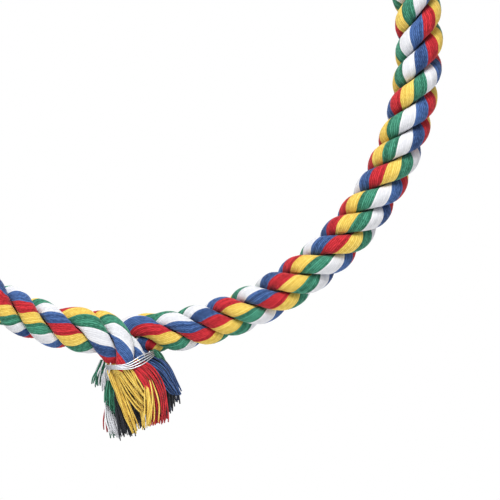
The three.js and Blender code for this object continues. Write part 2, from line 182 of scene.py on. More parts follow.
@dataclass(frozen=True)
class CottonYarn:
    """Soft cotton yarn, dyed in the hank and ring-spun from two plies.

    The eye sees a matt, slightly furry thread with a fine slanting ply, streaks of lighter and darker fibre
    along it, a seam of painted shade where it meets the next one, and a shade that differs a little from yarn
    to yarn.
    """

    name: str
    colour: str
    shade: str
    ply_pitch: float = 2.2 * MM  # drawn about twice as coarse as the real twist, which is too fine to show
    ply_shade: float = 0.07
    ply_relief: float = 0.3  # of the fibre's relief
    streak: float = 1.4 * MM  # length of a streak of fibre
    streaks_across: float = 1.5  # in a yarn's width
    tone_step: float = 40.0  # in the pattern, from the first tone to the last, so that yarns differ
    tone_shade: float = 0.25  # from the palest yarn to the darkest
    seam: float = 0.18  # of a yarn's width at each seam that is darkened with painted shade, where the next yarn would shade it
    seam_painted_shade: float = 0.4
    plain: float = 0.42  # shade in all up to which a yarn has its plain colour
    shaded: float = 0.82  # shade in all from which it is fully shaded
    relief: float = 0.09 * MM
    roughness: Pair = (0.78, 0.95)

    def material(self) -> Material:
        """Builds the yarn's material from where a point lies along and across its yarn.

        Returns:
            The material.
        """
        material, add = new_material(self.name)
        place = add("Attribute", {}, attribute_name=YARN_PLACE).outputs["Vector"]
        along, across, tone = add("SeparateXYZ", {0: place}).outputs
        turned = add("Math", {0: across, 1: TURN}, operation="MULTIPLY")
        slant = {0: along, 1: TURN / self.ply_pitch, 2: turned}
        twist = add("Math", slant, operation="MULTIPLY_ADD")
        ply = add("Math", {0: twist}, operation="SINE")
        steps = (1 / self.streak, self.streaks_across, self.tone_step)
        stretched = add("VectorMath", {0: place, 1: steps}, operation="MULTIPLY")
        noise = {"Scale": 1.0, "Detail": 5.0, "Roughness": 0.7}
        fibre = add("TexNoise", {"Vector": stretched, **noise})
        plied = add("Math", {0: ply, 1: self.ply_shade, 2: fibre}, operation="MULTIPLY_ADD")
        toned = add("Math", {0: tone, 1: self.tone_shade, 2: plied}, operation="MULTIPLY_ADD")
        # Painted shade: each yarn darkens towards its two seams, where the next yarn would shade it.
        from_seam = add("Math", {0: across, 1: YARN_MIDDLE}, operation="PINGPONG")
        fading = {"From Max": self.seam, "To Min": self.seam_painted_shade, "To Max": 0.0}
        painted_seam_darkening = add("MapRange", {"Value": from_seam, **fading})
        dark = add("Math", {0: toned, 1: painted_seam_darkening}, operation="ADD")
        share = add("MapRange", {"Value": dark, "From Min": self.plain, "From Max": self.shaded})
        colours = {COLOUR_A: linear(self.colour), COLOUR_B: linear(self.shade)}
        tint = add("Mix", {"Factor": share, **colours}, data_type="RGBA")
        height = add("Math", {0: ply, 1: self.ply_relief, 2: fibre}, operation="MULTIPLY_ADD")
        bump = add("Bump", {"Height": height, "Strength": 0.8, "Distance": self.relief})
        fuzz = {"From Min": 0.3, "From Max": 0.7, "To Min": self.roughness[0], "To Max": self.roughness[1]}
        rough = add("MapRange", {"Value": fibre, **fuzz})
        surface = {"Base Color": tint.outputs[COLOUR_OUT], "Roughness": rough, "Normal": bump}
        nap = {"Specular IOR Level": 0.2, "Sheen Weight": 0.12, "Sheen Roughness": 0.5}
        shader = add("BsdfPrincipled", {**surface, **nap})
        add("OutputMaterial", {"Surface": shader})
        return material


@dataclass(frozen=True)
class DrawnSteel:
    """Steel wire or rod, drawn through a die, and most of it coated with zinc.

    The eye sees a bright grey metal with a faint cloud of crystals, a fine grain and small dull rubs.
    """

    name: str
    colour: str
    dull: str
    roughness: float
    crystal: float = 1.6 * MM
    grit: float = 0.25 * MM
    relief: float = 0.02 * MM
    rub: float = 6.4 * MM
    rub_dullness: float = 0.22

    def material(self) -> Material:
        """Builds the steel from patterns of three sizes in the object's own space.

        Returns:
            The material.
        """
        material, add = new_material(self.name)
        place = add("TexCoord", {}).outputs["Object"]
        crystals = {"Vector": place, "Scale": 1 / self.crystal}
        cloud = add("TexVoronoi", crystals, feature="SMOOTH_F1")
        grain = add("TexNoise", {"Vector": place, "Scale": 1 / self.grit, "Detail": 4.0})
        rubbed = add("TexNoise", {"Vector": place, "Scale": 1 / self.rub, "Detail": 2.0})
        colours = {COLOUR_A: linear(self.colour), COLOUR_B: linear(self.dull)}
        tint = add("Mix", {"Factor": cloud, **colours}, data_type="RGBA")
        worn = self.roughness + self.rub_dullness
        wear = {"From Min": 0.35, "From Max": 0.7, "To Min": self.roughness, "To Max": worn}
        rough = add("MapRange", {"Value": rubbed, **wear})
        bump = add("Bump", {"Height": grain, "Strength": 0.25, "Distance": self.relief})
        surface = {"Base Color": tint.outputs[COLOUR_OUT], "Roughness": rough, "Normal": bump}
        shader = add("BsdfPrincipled", {**surface, "Metallic": 1.0})
        add("OutputMaterial", {"Surface": shader})
        return material


YARNS = {
    Dye.WHITE: CottonYarn("undyed_ring_spun_cotton", "#e3e3e6", "#cecfd4"),
    Dye.BLUE: CottonYarn("blue_dyed_ring_spun_cotton", "#4d70ab", "#20365f"),
    Dye.RED: CottonYarn("red_dyed_ring_spun_cotton", "#d5313b", "#88131c"),
    Dye.YELLOW: CottonYarn("yellow_dyed_ring_spun_cotton", "#eed36e", "#c9a440"),
    Dye.GREEN: CottonYarn("green_dyed_ring_spun_cotton", "#4e9e82", "#1f5843"),
    Dye.DARK: CottonYarn("dark_heart_ring_spun_cotton", "#34373f", "#1f2127"),
}
GALVANISED = DrawnSteel("galvanised_drawn_wire", "#c9ccd1", "#a9adb3", 0.28)
GALVANISED_EYE = DrawnSteel("galvanised_wound_wire", "#aeb2b7", "#8d9298", 0.32)
PLATED = DrawnSteel("zinc_plated_bent_rod", "#b2b6bc", "#94989f", 0.2)
PLATED_SLEEVE = DrawnSteel("zinc_plated_turned_steel", "#a9aeb5", "#8b9098", 0.24)
PLATED_RING = DrawnSteel("zinc_plated_welded_wire", "#b0b3b8", "#92959b", 0.22)
SPRING = DrawnSteel("plain_drawn_spring_steel", "#8f9498", "#73787d", 0.38)
YARN_MATERIALS = {dye: finish.material() for dye, finish in YARNS.items()}


# Meshes


def abreast(*columns: Array) -> Array:
    """Puts values side by side in a new last axis."""
    return np.stack(columns, axis=-1)


def unit(ways: Array) -> Array:
    """Scales ways, which lie in the last axis, to length one."""
    return ways / np.linalg.norm(ways, axis=-1, keepdims=True)


def quad_corners(rings: int, sides: int) -> tuple[Array, Array]:
    """Gives the ring and side of each corner of a tube's quads, the first side counted again as the last."""
    ring, side = np.meshgrid(np.arange(rings - 1), np.arange(sides), indexing="ij")
    return abreast(ring, ring, ring + 1, ring + 1), abreast(side, side + 1, side + 1, side)


def grid_faces(rings: int, sides: int, closed: bool = False) -> Array:
    """Numbers the four corners of a tube's quads, ring by ring; a closed tube's last ring joins its first."""
    ring, side = quad_corners(rings + closed, sides)
    return (ring % rings * sides + side % sides).reshape(-1, 4)


def cap_faces(rings: int, sides: int) -> list[list[int]]:
    """Numbers the two end faces of a tube, facing out."""
    last = (rings - 1) * sides
    return [list(range(sides))[::-1], list(range(last, last + sides))]


def new_object(name: str, points: Array, faces: list[Any], *materials: Material) -> Object:
    """Makes a smooth mesh object.

    Args:
        name: The piece's name.
        points: Places of the points, in the last axis of any array.
        faces: The corners of each face.
        materials: The object's materials.

    Returns:
        The object, in the scene.
    """
    mesh = bpy.data.meshes.new(name)
    mesh.from_pydata(points.reshape(-1, 3).tolist(), [], faces)
    mesh.polygons.foreach_set("use_smooth", np.ones(len(mesh.polygons), bool))
    for material in materials:
        mesh.materials.append(material)
    made = bpy.data.objects.new(name, mesh)
    bpy.context.scene.collection.objects.link(made)
    return made


def tube_points(points: Array, radii: Array, sides: int) -> Array:
    """Sets rings of points along a row, carried on without twisting.

    Args:
        points: The row.
        radii: The radius at each point, or at each point and side.
        sides: Points round a ring.

    Returns:
        The points of each ring.
    """
    ahead = unit(np.gradient(points, axis=0))
    across = np.cross(ahead[0], ASKEW)
    angles = TURN * np.arange(sides) / sides
    radii = np.broadcast_to(radii.reshape(len(points), -1), (len(points), sides))
    rings = []
    for point, way, size in zip(points, ahead, radii):
        across = unit(across - way * np.dot(across, way))
        beside = np.cross(way, across)
        spread = np.outer(np.cos(angles), across) + np.outer(np.sin(angles), beside)
        rings.append(point + spread * size[:, None])
    return np.array(rings)


def rod(name: str, points: Array, radii: Array, sides: int, finish: DrawnSteel) -> Object:
    """Makes a closed rod along a row of points, with a radius at each point, or at each point and side."""
    faces = grid_faces(len(points), sides).tolist() + cap_faces(len(points), sides)
    return new_object(name, tube_points(points, radii, sides), faces, finish.material())


def round_ended(along: Array, radius: float) -> Array:
    """Gives the radii of a rod whose two ends are rounded off.

    Args:
        along: How far each point lies along the rod.
        radius: The rod's radius.

    Returns:
        The radius at each point.
    """
    to_end = np.minimum(along - along[0], along[-1] - along)
    share = np.clip(to_end / radius, 0, 1)
    return radius * np.sqrt(np.clip(1 - (1 - share) ** 2, ROD_TIP, 1))


def lengths(points: Array) -> Array:
    """Gives how far along a row each of its points lies."""
    return np.concatenate([[0], np.cumsum(np.linalg.norm(np.diff(points, axis=0), axis=1))])


def smoothstep(value: Array, low: float, high: float) -> Array:
    """Rises smoothly from 0 at low to 1 at high."""
    share = np.clip((value - low) / (high - low), 0, 1)
    return share * share * (3 - 2 * share)


def hump(share: Array) -> Array:
    """Rises smoothly from 0 at -1 to 1 at 0, and falls back to 0 at 1."""
    return (1 - np.clip(share, -1, 1) ** 2) ** 2


def between(pair: Pair, share: float) -> float:
    """Gives the value at a share of the way from the first of a pair to the last."""
    return pair[0] + (pair[1] - pair[0]) * share


def bezier(knots: Array, share: Array) -> Array:
    """Gives points on a cubic curve.

    Args:
        knots: The curve's start, its two pulls and its finish.
        share: Places on the curve from 0 to 1.

    Returns:
        A point for each share.
    """
    rest = 1 - share
    weights = abreast(rest**3, 3 * rest**2 * share, 3 * rest * share**2, share**3)
    return weights @ knots


def write_corners(mesh: Mesh, places: list[Array], layout: list[Array]) -> None:
    """Writes where each corner of each face lies on its yarn, and its room on the bake's map.

    Args:
        mesh: The mesh.
        places: In the last axis, metres along the yarn, yarns across it and the yarn's tone.
        layout: In the last axis, the two shares of the map.
    """
    flat = [np.concatenate([part.ravel() for part in parts]).astype(np.float32) for parts in (places, layout)]
    mesh.attributes.new(YARN_PLACE, "FLOAT_VECTOR", "CORNER").data.foreach_set("vector", flat[0])
    mesh.uv_layers.new(name=BAKE_MAP).uv.foreach_set("vector", flat[1])


def settle(piece: Object, body: Body, slot: str, *nodes: str) -> Object:
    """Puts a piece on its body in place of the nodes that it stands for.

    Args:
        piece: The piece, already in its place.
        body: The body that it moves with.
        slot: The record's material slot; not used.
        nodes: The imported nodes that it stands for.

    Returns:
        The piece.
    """
    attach(piece, body.value)
    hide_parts(*nodes)
    LOG.info("%s rides on %s for %s", piece.name, body.value, ", ".join(nodes))
    return piece


# Rope


def joint_height(name: str) -> float:
    """Gives the height of a joint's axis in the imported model."""
    return next(j for j in frame["joints"] if j["name"] == name)["pos_m"][2]


@dataclass(frozen=True)
class YarnTurn:
    """How far the yarns of one strand have turned from their even twist: dyes, at millimetres from a cut."""

    places: tuple[float, ...]
    dyes: tuple[float, ...]

    def at(self, from_cut: Array) -> Array:
        """Gives the dyes turned at distances from the cut in metres."""
        return np.interp(from_cut / MM, self.places, self.dyes)


@dataclass(frozen=True)
class RopeEnd:
    """How one end of the rope leaves the ring, bends and runs down through the binding."""

    side: int  # 1 for the right end, which lies at the back, and -1 for the left end in front
    run: float  # along the ring, from its lowest point to where the end leaves the circle
    lead: float  # pull of the ring on the end's curve
    fall: float  # pull of the binding on it
    shift: float  # to the right of the binding's middle
    width: float  # squeezed, seen from the front
    rise: float  # of the rope over its bend
    swell: float  # of its outer strands over the bend
    bend_run: float  # from the cut to the middle of the bend
    bend_half: float  # half the length of the bend
    bow: float  # of the ring past the bend, off its circle to the inside
    set_back: float  # of the end just above the binding
    unlaid: float  # share of its lay that it loses at the cut
    turned: tuple[YarnTurn, ...]  # for each strand


@dataclass(frozen=True)
class RopeLine:
    """Where the rope runs: round the ring, and at both ends down through the binding.

    A place on it is a run, from the ring's lowest point up the right side, over the top and down the left.
    """

    height: float  # of the ring's middle
    ring_radius: float = 130.5 * MM
    full: float = 21.2 * MM  # thickness of the rope on the open ring
    tight: float = 18.8 * MM  # thickness near its cuts, were it not squeezed
    swell_run: float = 200 * MM  # from a cut to where the rope is full
    lay_right: float = 38.4 * MM  # length of one turn of the strands
    lay_left: float = 42.2 * MM
    lay_start: float = 0.104  # turns of the strands at the ring's lowest point
    back: RopeEnd = RopeEnd(
        side=1, run=12.1 * MM, lead=6.5 * MM, fall=5.5 * MM, shift=1.5 * MM, width=16.4 * MM,
        rise=3 * MM, swell=1.8 * MM, bend_run=13 * MM, bend_half=10 * MM,
        bow=0.0, set_back=3.2 * MM, unlaid=0.55,
        turned=(
            YarnTurn((18, 26, 37, 152, 191, 230, 400), (1, 0.75, 0, 0, 0.45, 1, 0)),
            YarnTurn((8, 13, 22, 30, 48, 140, 178, 217, 400), (0.6, 0.42, 0, -0.25, 0, 0, 0.1, 0.58, 0)),
            YarnTurn((6, 12, 165, 204, 400), (0.5, 0, 0, 0.2, 0)),
        ),
    )
    front: RopeEnd = RopeEnd(
        side=-1, run=34 * MM, lead=21 * MM, fall=11 * MM, shift=-2 * MM, width=17 * MM,
        rise=2.8 * MM, swell=1.3 * MM, bend_run=22 * MM, bend_half=20 * MM,
        bow=2 * MM, set_back=0.0, unlaid=0.2,
        turned=(
            YarnTurn((0, 10, 26, 45, 51, 58, 200), (-0.4, -0.2, 0.42, -0.2, -0.4, -0.5, 0)),
            YarnTurn(
                (0, 10, 18, 24, 30, 36, 48, 56, 66, 200),
                (1.1, 1.3, 1.5, 1.2, 0.5, 0.2, -0.45, -1.2, -1.3, 0),
            ),
            YarnTurn(
                (0, 13, 20, 28, 36, 45, 56, 66, 79, 200),
                (0.3, 0, 0.05, 0.35, 0.7, 1, -0.2, -1.2, -0.4, 0),
            ),
        ),
    )
    end_depth: float = 9.8 * MM  # of each squeezed end, from front to back
    end_gap: float = 1 * MM
    end_reach: float = 3.6 * MM  # from the middle of the binding to the cuts
    set_back_run: float = 10 * MM  # from the cut to where the end is furthest back
    bow_run: float = 75 * MM  # from the cut to the middle of the ring's bow
    bow_half: float = 45 * MM  # half the length of that bow
    squeezed_run: float = 8 * MM  # from a cut to where the rope starts to open
    narrow_run: float = 32 * MM  # from a cut to where it has its width again
    flat_run: float = 80 * MM  # from a cut to where it has its depth again
    unlaid_run: float = 40 * MM  # from a cut to where the lay is whole
    together_run: float = 26 * MM  # from a cut to where the two ends start to part
    parting_run: float = 100 * MM  # from a cut to where both are back in one plane
    bundle_width: float = 21 * MM  # of the yarns in the binding
    bundle_depth: float = 20 * MM
    binding_drop: float = 12.2 * MM  # below the ring's circle
    binding_shift: float = 3.1 * MM  # to the right of the ring's lowest point
    binding_tilt: float = math.radians(22)
    probe: float = 0.5 * MM  # to both sides of a run, to find the way ahead there
    samples: int = 400

    @property
    def length(self) -> float:
        """The length of the whole circle."""
        return TURN * self.ring_radius

    @property
    def binding_centre(self) -> Array:
        """The middle of the binding, from the middle of the ring."""
        return np.array([self.binding_shift, 0, -self.ring_radius - self.binding_drop])

    @property
    def binding_axis(self) -> Array:
        """The way down through the binding."""
        return np.array([math.sin(self.binding_tilt), 0, -math.cos(self.binding_tilt)])

    @property
    def binding_across(self) -> Array:
        """The way across the binding, to the right."""
        return np.array([math.cos(self.binding_tilt), 0, math.sin(self.binding_tilt)])

    def circle(self, run: Array) -> Array:
        """Gives points on the circle of the ring."""
        angle = np.asarray(run) / self.ring_radius
        return self.ring_radius * abreast(np.sin(angle), 0 * angle, -np.cos(angle))

    @lru_cache(maxsize=None)
    def measured_end(self, end: RopeEnd) -> tuple[Array, Array]:
        """Follows one rope end from the circle through the binding to its cut.

        Args:
            end: The end.

        Returns:
            Points along the end, and how far along it each one lies.
        """
        leave = self.circle(end.side * end.run)
        inward = self.circle(end.side * (end.run - self.length / 4)) * end.lead / self.ring_radius
        neck = self.binding_centre + self.binding_across * end.shift
        above = neck - self.binding_axis * end.fall
        bend = bezier(np.stack([leave, leave + inward, above, neck]), np.linspace(0, 1, self.samples))
        points = np.concatenate([bend, [neck + self.binding_axis * self.end_reach]])
        return points, lengths(points)

    @property
    def start(self) -> float:
        """The run at the cut of the right end."""
        return self.back.run - self.measured_end(self.back)[1][-1]

    @property
    def finish(self) -> float:
        """The run at the cut of the left end."""
        return self.length - self.front.run + self.measured_end(self.front)[1][-1]

    def from_end(self, run: Array) -> Array:
        """Gives how far a run is from the nearer cut."""
        return np.minimum(run - self.start, self.finish - run)

    def by_end(self, run: Array, name: str) -> Array:
        """Gives a value of the rope's end: the back one's on the right half, the front one's on the left."""
        return np.where(run < self.length / 2, getattr(self.back, name), getattr(self.front, name))

    def half_round(self, run: Array) -> Array:
        """Gives half the rope's thickness where nothing squeezes it, which swells away from the cuts."""
        return (self.tight + (self.full - self.tight) * smoothstep(self.from_end(run), 0, self.swell_run)) / 2

    def half_depth(self, run: Array) -> Array:
        """Gives half the rope's thickness from front to back."""
        freedom = smoothstep(self.from_end(run), self.squeezed_run, self.flat_run)
        return self.end_depth / 2 + (self.half_round(run) - self.end_depth / 2) * freedom

    def point(self, run: Array) -> Array:
        """Gives points on the rope's centreline.

        Args:
            run: Places along the rope.

        Returns:
            A point for each run.
        """
        points = self.circle(run)
        for end in (self.back, self.front):
            path, along = self.measured_end(end)
            past = end.run - run if end.side > 0 else run - self.length + end.run
            on_end = past > 0
            for axis in range(3):
                points[on_end, axis] = np.interp(past[on_end], along, path[:, axis])
        nearness = 1 - smoothstep(self.from_end(run), self.together_run, self.parting_run)
        aside = nearness * (self.half_depth(run) + self.end_gap / 2)
        behind = hump(self.from_end(run) / self.set_back_run - 1)
        points[:, 1] += self.by_end(run, "side") * aside
        points[:, 1] += self.by_end(run, "set_back") * behind
        points[:, 2] += self.height
        return points

    def section(self, run: Array) -> dict[str, Array]:
        """Gives the rope's section, which stands up and swells over each end's bend.

        Args:
            run: Places along the rope.

        Returns:
            The middle, the ways to the front and outward, and half the depth and the width.
        """
        ahead = unit(self.point(run + self.probe) - self.point(run - self.probe))
        front = unit(FRONT - ahead * (ahead @ FRONT)[:, None])
        outward = np.cross(ahead, front)
        from_end = self.from_end(run)
        freedom = smoothstep(from_end, self.squeezed_run, self.narrow_run)
        squeezed = self.by_end(run, "width") / 2
        bend = hump((from_end - self.by_end(run, "bend_run")) / self.by_end(run, "bend_half"))
        bowed = hump((from_end - self.bow_run) / self.bow_half)
        rise = self.by_end(run, "rise") * bend + self.by_end(run, "bow") * bowed
        swell = self.by_end(run, "swell") * bend
        return {
            "middle": self.point(run) - outward * rise[:, None],
            "front": front,
            "outward": outward,
            "half_depth": self.half_depth(run),
            "half_width": squeezed + (self.half_round(run) - squeezed) * freedom + swell,
        }

    def twist_turns(self, run: Array) -> Array:
        """Gives the turns that the rope was laid with, which open steadily from right to left."""
        opening = (1 / self.lay_left - 1 / self.lay_right) / (2 * self.length)
        return self.lay_start + run / self.lay_right + opening * run * run

    def lay_turns(self, run: Array) -> Array:
        """Gives the turns of the strands, which have come a little undone at a frayed end.

        Args:
            run: Places along the rope.

        Returns:
            Turns of the strands at each run.
        """
        turns = self.twist_turns(run)
        for end in (self.back, self.front):
            from_cut = run - self.start if end.side > 0 else self.finish - run
            share = np.clip(from_cut / self.unlaid_run, 0, 1)
            lost = 0.5 - share + share**3 - share**4 / 2  # a smooth fade, added up from here to its end
            turns += end.side * end.unlaid * self.unlaid_run / self.lay_left * lost
        return turns


@dataclass(frozen=True)
class YarnOrder:
    """How the dyes lie on one strand: the dye that faces out at a turn of the lay, and its drift."""

    dye: float
    drift: float
    turn: float


@dataclass
class LaidRope:
    """Three strands of 35 yarns each, laid right-handed, their yarns twisted the other way."""

    line: RopeLine
    yarns: int = 35
    dyes: int = 5
    columns: int = 3  # points across one yarn
    steps_per_lay: int = 36
    gap: float = 0.12 * MM
    bore: float = 1.3 * MM
    heart: float = 0.54  # of the rope's radius, from its middle to the middle of a strand
    breadth: float = 0.58  # of the rope's radius, half across a strand
    sharpness: float = 9  # of a strand's edges, where its round outside meets its flat sides
    groove: float = 0.18 * MM
    unevenness: float = 0.1 * MM
    uneven_wave: Pair = (30 * MM, 80 * MM)
    wobbles: Places = ((0.05, 57 * MM), (0.03, 23 * MM))  # of the dyes, each with the length of its wave
    end_share: float = 0.55  # of its thickness that the rope keeps at its frayed cut
    map_rows: int = 6
    map_margin: float = 0.02
    map_room: float = 0.94
    cap_place: Pair = (0.5, 0.9985)  # of the two cut faces on the map
    cap_size: Pair = (0.002, 0.001)
    orders: tuple[YarnOrder, ...] = (
        YarnOrder(3.85, 0.571, 5.8333),
        YarnOrder(0.65, 0.579, 5.5),
        YarnOrder(0.65, 0.921, 5.1667),
    )

    def lobe(self, angle: Array, radius: Array) -> Array:
        """Gives how far a strand's skin is from its heart: round outside, flat against its two neighbours.

        Args:
            angle: Angles round the strand from its outward side.
            radius: Radius of the rope, for each row of angles.

        Returns:
            The distance for each angle.
        """
        out, aside = np.cos(angle), np.sin(angle)
        share = math.pi / len(self.orders)
        crowding = np.hypot(out / (1 - self.heart), aside / self.breadth) ** self.sharpness
        for way in (1, -1):
            toward = way * aside * math.cos(share) - out * math.sin(share)
            room = self.heart * math.sin(share) - self.gap / 2 / radius
            crowding += np.clip(toward / room, 0, None) ** self.sharpness
        crowding += np.clip(-out / (self.heart - self.bore / radius), 0, None) ** self.sharpness
        return radius * crowding ** (-1 / self.sharpness)

    def evenly_round(self, share: Array) -> Array:
        """Turns even shares of the way round a strand's skin into angles about its heart.

        Args:
            share: Turns round the skin from the outward side.

        Returns:
            The angles.
        """
        angle = np.linspace(-math.pi, math.pi, CIRCLE_STEPS)
        skin = self.lobe(angle, np.full(1, self.line.full / 2))
        steps = np.hypot(np.diff(skin * np.cos(angle)), np.diff(skin * np.sin(angle)))
        way_round = np.concatenate([[0], np.cumsum(steps)]) / steps.sum() - 0.5
        return np.interp((share + 0.5) % 1 - 0.5, way_round, angle)

    def strand(self, number: int, rng: Draws) -> Object:
        """Builds one strand, with a groove between each two yarns.

        Args:
            number: The strand, from 0.
            rng: The source of its small unevenness.

        Returns:
            The strand.
        """
        line, order = self.line, self.orders[number]
        rings = round((line.finish - line.start) * self.steps_per_lay / line.lay_right) + 1
        run = np.linspace(line.start, line.finish, rings)
        section = line.section(run)
        turn = line.lay_turns(run)
        radius = np.maximum(section["half_width"], section["half_depth"])[:, None]
        sides = self.yarns * self.columns
        lane = np.arange(sides) / self.columns
        wobble = sum(size * np.sin(TURN * (run / wave + rng.random())) for size, wave in self.wobbles)
        facing = order.dye + (2 * self.dyes + order.drift) * (line.twist_turns(run) - order.turn) + wobble
        for end, from_cut in ((line.back, run - line.start), (line.front, line.finish - run)):
            facing += end.turned[number].at(from_cut)
        angle = self.evenly_round(lane / self.yarns - (0.5 + facing[:, None]) / self.dyes)
        skin = self.lobe(angle, radius)
        yarn = (np.arange(sides) // self.columns)[None, :]
        wave = rng.uniform(*self.uneven_wave, self.yarns)[yarn]
        phase = rng.random(self.yarns)[yarn]
        skin -= self.unevenness * (0.5 + 0.5 * np.sin(TURN * (run[:, None] / wave + phase)))
        skin -= np.where(np.arange(sides) % self.columns == 0, self.groove, 0)
        out = self.heart * radius + skin * np.cos(angle)
        aside = skin * np.sin(angle)
        lie = TURN * (turn + number / len(self.orders))[:, None] + math.pi / len(self.orders)
        kept = self.end_share + (1 - self.end_share) * smoothstep(line.from_end(run), 0, line.end_reach)
        deep, wide = (kept * section[side] for side in ("half_depth", "half_width"))
        to_front = (out * np.cos(lie) - aside * np.sin(lie)) * deep[:, None] / radius
        to_outside = (out * np.sin(lie) + aside * np.cos(lie)) * wide[:, None] / radius
        points = (
            section["middle"][:, None]
            + section["front"][:, None] * to_front[..., None]
            + section["outward"][:, None] * to_outside[..., None]
        )
        faces = grid_faces(rings, sides).tolist() + cap_faces(rings, sides)
        dyed = [YARN_MATERIALS[dye] for dye in list(Dye)[: self.dyes]]
        made = new_object(f"laid_strand_{number + 1}", points, faces, *dyed)
        self.dress(made.data, run, rng)
        return made

    def dress(self, mesh: Mesh, run: Array, rng: Draws) -> None:
        """Gives each yarn its dye, its place for the yarn pattern and its room on the bake's map.

        Args:
            mesh: The strand's mesh.
            run: The run at each ring.
            rng: The source of each yarn's shade.
        """
        sides, quads = self.yarns * self.columns, len(run) - 1
        yarn = np.arange(sides) // self.columns
        dye = np.tile(yarn * self.dyes // self.yarns, quads)
        mesh.polygons.foreach_set("material_index", np.concatenate([dye, [0, 0]]))
        ring, side = quad_corners(len(run), sides)
        tone = np.broadcast_to(rng.random(self.yarns)[yarn][side[..., :1]], side.shape)
        # Across, in yarns: whole numbers fall on the grooves, where the material paints a seam of shade.
        place = abreast(run[ring], side / self.columns, tone)
        per_row = math.ceil(quads / self.map_rows)
        row = ring[..., :1] // per_row
        along = (ring - row * per_row) / per_row
        around = (row + self.map_margin + self.map_room * side / sides) / self.map_rows
        angle = TURN * np.arange(sides) / sides
        cap = abreast(np.cos(angle), np.sin(angle)) * self.cap_size + self.cap_place
        write_corners(mesh, [place, np.zeros((2 * sides, 3))], [abreast(along, around), cap, cap])

    def build(self) -> None:
        """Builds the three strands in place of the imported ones."""
        rng = np.random.default_rng(SEED)
        for number, slot in enumerate(("red_cotton", "green_cotton", "blue_cotton")):
            settle(self.strand(number, rng), Body.PERCH, slot, f"rope_strand_{number + 1}")


# Tassel


@dataclass(frozen=True)
class Wisp:
    """A bunch of loose yarns in a tuft. A pair of values belongs to its first and its last yarn.

    Places and lengths are in millimetres from the middle of the binding, angles are in degrees from straight
    down to the right, and a layer runs from 0 at the front skin of the bundle to 2 at the back skin.
    """

    count: int
    root: Pair
    layer: Pair
    lean: Pair
    right: Pair
    below: Pair
    behind: Pair
    hang: Pair
    lift: float = 0.4  # of the roots above the middle of the binding


